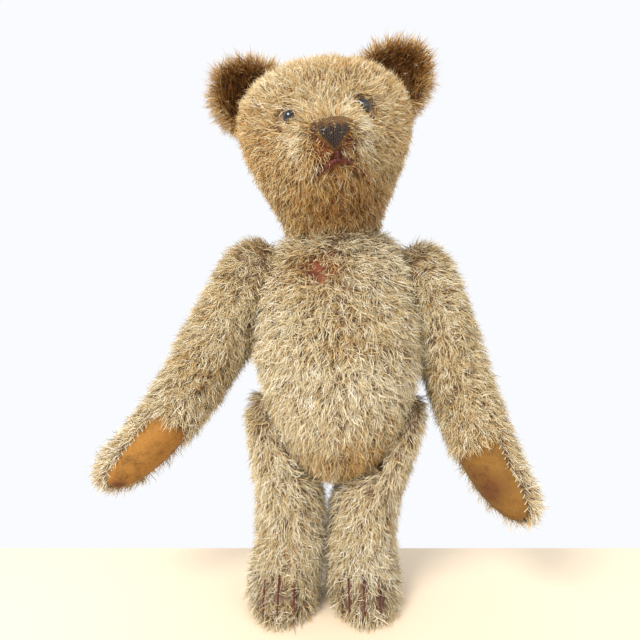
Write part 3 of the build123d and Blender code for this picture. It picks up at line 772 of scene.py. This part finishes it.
body = torso_cloth()
wear_cloth(body, mohair_backing("mohair_backing_body", [(CHEST, 12)]), "torso", "mohair", 0.9,
           "body_cover_left", "body_cover_right", "body_stuffing")
head = head_cloth()
wear_cloth(head, mohair_backing("mohair_backing_head", [(NOSE_TIP - Vector((0, 0, 9)) * MM, 22)]), "head",
           "mohair", 0.95, "head_gusset", "head_cover_left", "head_cover_right", "head_stuffing")
PLAIN_BACKING = mohair_backing("mohair_backing_limbs", [])
ears, ear_frames = {}, {}
for side in ("left", "right"):
    ears[side], ear_frames[side] = ear_cloth(side)
    ear_backing = mohair_backing(side + "_ear_backing", [(ear_frames[side].translation, 60)])
    wear_cloth(ears[side], ear_backing, "head", "ear_mohair", 0.3, side + "_ear")
arms, legs = {}, {}
for side in ("left", "right"):
    arms[side] = limb_cloth(side + "_arm", side + "_arm_swing")
    wear_cloth(arms[side], PLAIN_BACKING, side + "_arm", "mohair", 0.9, side + "_arm_cover",
               side + "_arm_stuffing")
    legs[side] = limb_cloth(side + "_leg", side + "_leg_swing", FEET[side])
    wear_cloth(legs[side], PLAIN_BACKING, side + "_leg", "mohair", 0.95, side + "_leg_cover",
               side + "_leg_stuffing")

# ------------------------------------------------------------------ felt pads

def bisected(source, name, cuts):
    """Copy of a form with all that lies behind each cut's point and direction taken off."""
    obj = source.copy()
    obj.data = source.data.copy()
    obj.name = obj.data.name = name
    obj.parent = None
    for key in [key for key in obj.keys() if key.startswith("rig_")]:
        del obj[key]
    show(obj)
    pick(obj)
    bpy.ops.object.mode_set(mode="EDIT")
    for spot, direction in cuts:
        bpy.ops.mesh.select_all(action="SELECT")
        bpy.ops.mesh.bisect(plane_co=spot, plane_no=direction, clear_inner=True)
    bpy.ops.object.mode_set(mode="OBJECT")
    return obj


def paw_lines(side):
    """The paw's tip, and the ways along it and out of its pad."""
    tip, wrist = place(*LIMBS[side + "_arm"][-1][0]), place(*LIMBS[side + "_arm"][-3][0])
    along = (tip - wrist).normalized()
    front = Vector((0, -1, 0))
    front = (front - along * front.dot(along)).normalized()
    inward = along.cross(front)
    inward = inward * (-1 if (inward.x > 0) == (side == "left") else 1)
    turn = math.radians(PAW_PAD_TURN)
    return tip, along, front * math.cos(turn) + inward * math.sin(turn)


def felt_pad(side, finish):
    """Felt on the front of the paw, laid on the cloth and hemmed under at its edge."""
    tip, along, front = paw_lines(side)
    obj = bisected(arms[side], side + "_paw_felt", [(tip + front * PAW_PAD_START * MM, front),
                                                    (tip - along * 35 * MM, along)])
    wall = obj.modifiers.new("felt", "SOLIDIFY")
    wall.thickness, wall.offset, wall.use_rim = 1.0 * MM, 0.85, True
    finish_modifiers(obj)
    wear(obj, finish)
    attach(obj, side + "_arm")
    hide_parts(side + "_paw_pad")
    return obj


def felt_sole(side, finish):
    """Felt sole, the cloth's own outline, flat on the ground."""
    obj = bisected(legs[side], side + "_sole_felt", [(Vector((0, 0, 1.5 * MM)), Vector((0, 0, -1)))])
    co = points_of(obj)
    middle = place(*FEET[side], 0)
    co[:, 0] += (co[:, 0] - middle.x) * 0.02
    co[:, 1] += (co[:, 1] - middle.y) * 0.015
    co[:, 2] = np.maximum(co[:, 2] - 0.12 * MM, 0.04 * MM)
    set_points(obj, co)
    wear(obj, finish)
    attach(obj, side + "_leg")
    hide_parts(side + "_foot_pad")
    return obj


PAW_FELT = {"left": "#7E5A22", "right": "#96682A"}
for side in ("left", "right"):
    tip, along, front = paw_lines(side)
    if side == "left":
        stains = [(tip - along * 12 * MM + front * 9 * MM, 13), (tip - along * 20 * MM + front * 9 * MM, 9)]
    else:
        stains = [(tip + along * 6 * MM + front * 8 * MM, 6), (tip - along * 20 * MM + front * 10 * MM, 5)]
    felt_pad(side, wool_felt(side + "_paw_wool_felt", stains, "#6E4A18", PAW_FELT[side]))
    felt_sole(side, wool_felt(side + "_sole_wool_felt", [(place(*FEET[side], 0), 16)], "#6E4A18", "#85601F"))

# ------------------------------------------------------------------ face, claws and seams

head_surface = surface(head)
nose_node = frame["nodes"]["nose_stitching"]
nose_surface = surface(nose_node)
wear(nose_node, wool_felt("nose_wool_felt", [(NOSE_TIP + Vector((0, 9, -1)) * MM, 9)], "#38220D", "#5E421A"))


def face_point(x, height):
    return ROLLED @ (Vector((x, 0, height)) * MM)


def nose_threads():
    """Satin stitches over the lower middle of the nose, slanting down to its point."""
    paths = []
    for i in range(13):
        x = -6.5 + 1.05 * i
        top = NOSE_HEIGHT + 1.5 + 1.2 * math.sin(i * 1.9)
        low = NOSE_HEIGHT - 7.6 + abs(x - 0.5) * 0.85
        path = []
        for step in range(6):
            share = step / 5
            spot = face_point(x * (1 - 0.25 * share) - 1.6 * share + 1.0, top + (low - top) * share)
            on_nose = nose_surface.ray_cast(Vector((spot.x, -0.3, spot.z)), Vector((0, 1, 0)))[0]
            tree = nose_surface if on_nose else head_surface
            path.append(front_of(tree, spot, 0.35))
        paths.append(path)
    return thread("nose_satin_stitches", paths, 0.55, 2, BLACK_THREAD, "head")


def mouth_threads():
    """An upright stitch under the nose, and one spreading down to each side of its foot."""
    foot = NOSE_HEIGHT - 0.7 * NOSE_TALL
    upright = [(0.2, NOSE_HEIGHT - 0.5 * NOSE_TALL), (0, foot + 1.5), (0, foot)]
    left = [(0, foot), (3, foot - 0.6), (6, foot - 2), (11.5, foot - 5.2)]
    right = [(-x, height) for x, height in left]
    paths = [[front_of(head_surface, face_point(x, height), MOUTH_LIFT) for x, height in way]
             for way in (upright, left, right)]
    obj = thread("mouth_threads", paths, 0.95, 3, RUST_THREAD, "head")
    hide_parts("mouth_stitching")
    return obj


def claw_threads(side):
    """Three long stitches up over the toes, on top of the pile."""
    tree = surface(legs[side])
    paths = []
    for offset in CLAW_OFFSETS:
        x, y = FEET[side]
        root = place(x + offset, y - CLAW_ROOT, CLAW_RISE)
        path = []
        for angle in CLAW_ANGLES:
            way = Vector((0, -math.cos(math.radians(angle)), math.sin(math.radians(angle))))
            hit, normal, _, _ = tree.ray_cast(root, way)
            path.append(hit + way * CLAW_LIFT * MM)
        paths.append(path)
    obj = thread(side + "_claw_threads", paths, 0.62, 2, RUST_THREAD, side + "_leg")
    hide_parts(side + "_claws")
    return obj


def closing_stitches():
    """The seam that the stuffing went in by, sewn shut by hand down the chest."""
    tree = surface(body)
    paths = []
    for i in range(14):
        height = 122 + 4.6 * i
        paths.append([front_of(tree, place(x, 0, height + slope), 0.25)
                      for x, slope in ((-1.6, 0), (-0.5, 0.7), (0.6, 1.4), (1.6, 2.0))])
    return thread("front_closing_stitches", paths, 0.3, 1, CREAM_THREAD, "torso")


def pad_stitches(side):
    """Whip stitches that hold the felt to the mohair down the outer edge of the paw."""
    tip, along, front = paw_lines(side)
    tree = surface(arms[side])
    across = along.cross(front)
    paths = []
    for hand in (1, -1):
        for i in range(15):
            middle = tip - along * (33 - 2.9 * i) * MM
            path = []
            for rise in (-0.8, 0.0, 1.4):
                start = middle + front * (PAW_PAD_START + rise) * MM + across * hand * 40 * MM
                hit, normal, _, _ = tree.ray_cast(start + along * rise * 0.4 * MM, -across * hand)
                if hit:
                    path.append(hit + normal * (1.0 if rise >= 0 else 0.3) * MM)
            if len(path) == 3:
                paths.append(path)
    return thread(side + "_paw_stitches", paths, 0.28, 1, CREAM_THREAD, side + "_arm")


nose_threads()
mouth_threads()
closing_stitches()
for side in ("left", "right"):
    claw_threads(side)
    pad_stitches(side)

# ------------------------------------------------------------------ the pile of each piece

DENSITY = 2.2


def cloudy(p, size, turn):
    """Slow uneven change over a surface, about -1 to 1."""
    q = p / (size * MM)
    return (np.sin(q[:, 0] + 1.3 * q[:, 2] + turn) + np.sin(1.7 * q[:, 1] - q[:, 2] * 0.8 + 2 * turn)
            + np.sin(1.1 * q[:, 2] + 0.9 * q[:, 0] * np.cos(turn) + 3 * turn)) / 3


SHOULDERS = [("left_arm_swing", 17), ("right_arm_swing", 17)]
HIPS = [("left_leg_swing", 25), ("right_leg_swing", 25)]
CHEST_SPOTS = [(CHEST, 14, 0.88), (place(-28, -26, 184), 10, 0.45), (place(3, -34, 189), 7, 0.45),
               (place(-2.4, -41, 139), 9, 0.4)]


def body_keep(p, n):
    keep = np.where(off_flats(p, SHOULDERS + HIPS + [("head_turn", 24)], -1, 0.9), 1.0, 0.0)
    for spot, radius, much in CHEST_SPOTS:
        keep *= 1 - much * closeness(p, spot, radius)
    front_seam = (np.abs(p[:, 0] - HOME.x) < 0.7 * MM) & (n[:, 1] < 0)
    keep = np.where(front_seam, keep * 0.35, keep)
    return keep * (0.93 + 0.07 * cloudy(p, 6, 1.0))


def body_dye(p):
    q = (p - np.array(HOME)) / MM
    low = np.clip((118 - q[:, 2]) / 40, 0, 1)
    gold = 0.17 * low * np.clip(0.5 + q[:, 0] / 40, 0, 1) + 0.08 * low
    dye = 0.68 - gold + 0.06 * cloudy(p, 14, 2.0)
    for spot, radius, much in CHEST_SPOTS:
        dye -= 0.22 * much * closeness(p, spot, radius * 1.7)
    return dye


def body_lie(p, n):
    way = down(p, n)
    way[:, 0] += 0.25 * np.sign(p[:, 0] - HOME.x)
    return way


NOSE_BARE = near_node(["nose_stitching"], NOSE_LANE)
EYES_BARE = near_node(["left_eye", "right_eye"], EYE_LANE)
MOUTH_BARE = near_node(["mouth_stitching"], MOUTH_LANE)
MUZZLE_WORN = NOSE_TIP + Vector((0, 4, -9)) * MM


def head_keep(p, n):
    keep = np.where(off_flats(p, [("head_turn", 24)], 1, 0.9), 1.0, 0.0)
    keep *= 1 - 0.78 * closeness(p, MUZZLE_WORN, 17) ** 0.6
    near = np.linalg.norm(p - np.array(NOSE_TIP), axis=1) < 60 * MM
    where = np.nonzero(near)[0]
    keep[where[NOSE_BARE(p[where]) | EYES_BARE(p[where]) | MOUTH_BARE(p[where])]] = 0
    return keep * (0.95 + 0.05 * cloudy(p, 5, 4.0))


def head_dye(p):
    q = on_face(p) / MM
    throat = np.clip((30 - q[:, 2]) / 16, 0, 1) * np.clip(-q[:, 1] / 20, 0, 1)
    beside = np.clip(1 - np.abs(q[:, 2] - 42) / 12, 0, 1) \
        * np.clip(1 - np.abs(np.abs(q[:, 0]) - 15) / 8, 0, 1) * np.clip((-q[:, 1] - 35) / 15, 0, 1)
    return 0.51 - 0.17 * throat + 0.27 * beside + 0.08 * cloudy(p, 12, 5.0)


def head_lie(p, n):
    way = unit(p - np.array(NOSE_TIP))
    q = on_face(p) / MM
    fall = np.clip((62 - q[:, 2]) / 30, 0, 1)[:, None]
    return way * (1 - 0.75 * fall) + down(p, n) * fall


def limb_dye(turn, base=0.62):
    return lambda p: base + 0.06 * cloudy(p, 12, turn)


def arm_keep(side):
    tip, along, front = paw_lines(side)

    def keep(p, n):
        q = p - np.array(tip)
        pad = (q @ np.array(front) > (PAW_PAD_START - 0.6) * MM) & (q @ np.array(along) > -34.6 * MM)
        clear = off_flats(p, [(side + "_arm_swing", 17)], 1, 0.9)
        return np.where(pad | ~clear, 0.0, 0.96 + 0.04 * cloudy(p, 5, 2.2))
    return keep


def limb_lie(name):
    """Down along the limb, following its stations."""
    centres = [place(*station[0]) for station in LIMBS[name]]
    ways = np.array([b - a for a, b in zip(centres, centres[1:])])
    heights = np.array([(a.z + b.z) / 2 for a, b in zip(centres, centres[1:])])

    def lie(p, n):
        order = np.argsort(heights)
        return np.stack([np.interp(p[:, 2], heights[order], ways[order, i]) for i in range(3)], axis=1)
    return lie


def leg_keep(side):
    claws = near_node([side + "_claws"], CLAW_LANE)

    def keep(p, n):
        clear = off_flats(p, [(side + "_leg_swing", 28)], 1, 0.9) & (p[:, 2] > 1.2 * MM)
        value = np.where(clear, 0.96 + 0.04 * cloudy(p, 5, 3.1), 0.0)
        low = np.nonzero(p[:, 2] < 40 * MM)[0]
        value[low[claws(p[low])]] = 0
        return value
    return keep


def foot_lie(name):
    along = limb_lie(name)

    def lie(p, n):
        foot = np.clip((26 * MM - p[:, 2]) / (14 * MM), 0, 1)[:, None]
        return unit(along(p, n)) * (1 - 0.6 * foot) + np.array([[0, -0.9, -0.25]]) * foot
    return lie


def quarter(keep, middle, left, front):
    """A share of a pile, by side and by face."""
    def part(p, n):
        mine = ((p[:, 0] > middle.x) == left) & ((p[:, 1] < middle.y) == front)
        value = np.zeros(len(p))
        value[mine] = keep(p[mine], n[mine])
        return value
    return part


seed = 10
for left in (True, False):
    for front in (True, False):
        seed += 1
        words = ("left" if left else "right") + ("_front" if front else "_back")
        pile("body_pile_" + words, body, "torso", seed, DENSITY,
             quarter(body_keep, HOME, left, front), body_dye, BODY_HAIR, body_lie,
             BODY_STAND)
        pile("head_pile_" + words, head, "head", seed + 10, DENSITY * 1.1,
             quarter(head_keep, FACE.translation, left, front), head_dye, HEAD_HAIR,
             head_lie, HEAD_STAND)

for side in ("left", "right"):
    pile(side + "_arm_pile", arms[side], side + "_arm", seed + 20, DENSITY, arm_keep(side),
         limb_dye(7.0 if side == "left" else 8.0), LIMB_HAIR, limb_lie(side + "_arm"), BODY_STAND)
    pile(side + "_leg_pile", legs[side], side + "_leg", seed + 30, DENSITY, leg_keep(side),
         limb_dye(9.0 if side == "left" else 10.0, 0.66), LIMB_HAIR, foot_lie(side + "_leg"),
         BODY_STAND)
    seed += 1


def ear_pile(side):
    """Brown plush, dark in the cup and lighter round the rim, standing out like a brush."""
    into = ear_frames[side].inverted()
    turn, shift = np.array(into.to_3x3()), np.array(into.translation)
    middle = np.array(ear_frames[side].translation)

    def local(p):
        return (p @ turn.T + shift) / MM

    def keep(p, n):
        q = on_face(p) / MM
        buried = (q[:, 0] / (HEAD_HALF_WIDTH - 4)) ** 2 + (q[:, 1] / (HEAD_HALF_DEPTH - 4)) ** 2 \
            + ((q[:, 2] - 62) / 38) ** 2 < 1
        return np.where(buried, 0.0, 1.0)

    def dye(p):
        q = local(p)
        rim = np.sqrt((q[:, 0] / EAR_HALF_WIDTH) ** 2 + (q[:, 2] / EAR_REACH) ** 2)
        cup = np.clip((0.92 - rim) / 0.25, 0, 1) * (q[:, 1] < 6)
        return 0.42 - 0.26 * cup + 0.05 * cloudy(p, 7, 3.0)

    def lie(p, n):
        return p - middle + np.array([[0, 0.0, 0.3 * MM]])
    pile(side + "_ear_pile", ears[side], "head", 60 + len(side), DENSITY * 1.9, keep, dye,
         EAR_HAIR, lie, EAR_STAND, EAR_CURL)


ear_pile("left")
ear_pile("right")

# ------------------------------------------------------------------ stage, light and camera

deselect()
bpy.ops.mesh.primitive_plane_add(size=1)
floor = bpy.context.object
floor.name = "floor"
floor.data.transform(Matrix.Translation((0, -0.94, 0)) @ Matrix.Diagonal((4, 2, 1, 1)))
paint, _, paint_shader = material("pale_matt_board", Roughness=0.6)
paint_shader.inputs["Base Color"].default_value = linear("#E8D6BC")
floor.data.materials.append(paint)

world = bpy.data.worlds.new("studio")
bpy.context.scene.world = world
world.use_nodes = True
world.node_tree.nodes["Background"].inputs["Color"].default_value = linear("#F4F6FA")
world.node_tree.nodes["Background"].inputs["Strength"].default_value = 1.05


def lamp(name, spot, size, power, colour):
    data = bpy.data.lights.new(name, "AREA")
    data.size, data.energy, data.color = size, power, linear(colour)[:3]
    obj = bpy.data.objects.new(name, data)
    obj.location = spot
    obj.rotation_euler = (Vector((0, 0, 0.17)) - Vector(spot)).to_track_quat("-Z", "Y").to_euler()
    show(obj)


lamp("window", (-0.55, -0.75, 0.85), 0.5, 17.0, "#FFFAF2")
lamp("room", (0.8, -0.6, 0.5), 0.9, 3.0, "#FFFFFF")

camera = bpy.data.objects.new("camera", bpy.data.cameras.new("camera"))
camera.location = HOME + Vector((-9.8, -285, 153)) * MM
camera.rotation_euler = (math.pi / 2, 0, 0)
camera.data.lens, camera.data.sensor_width = 28.125, 36
camera.data.clip_start, camera.data.clip_end = 0.01, 20
show(camera)
bpy.context.scene.camera = camera
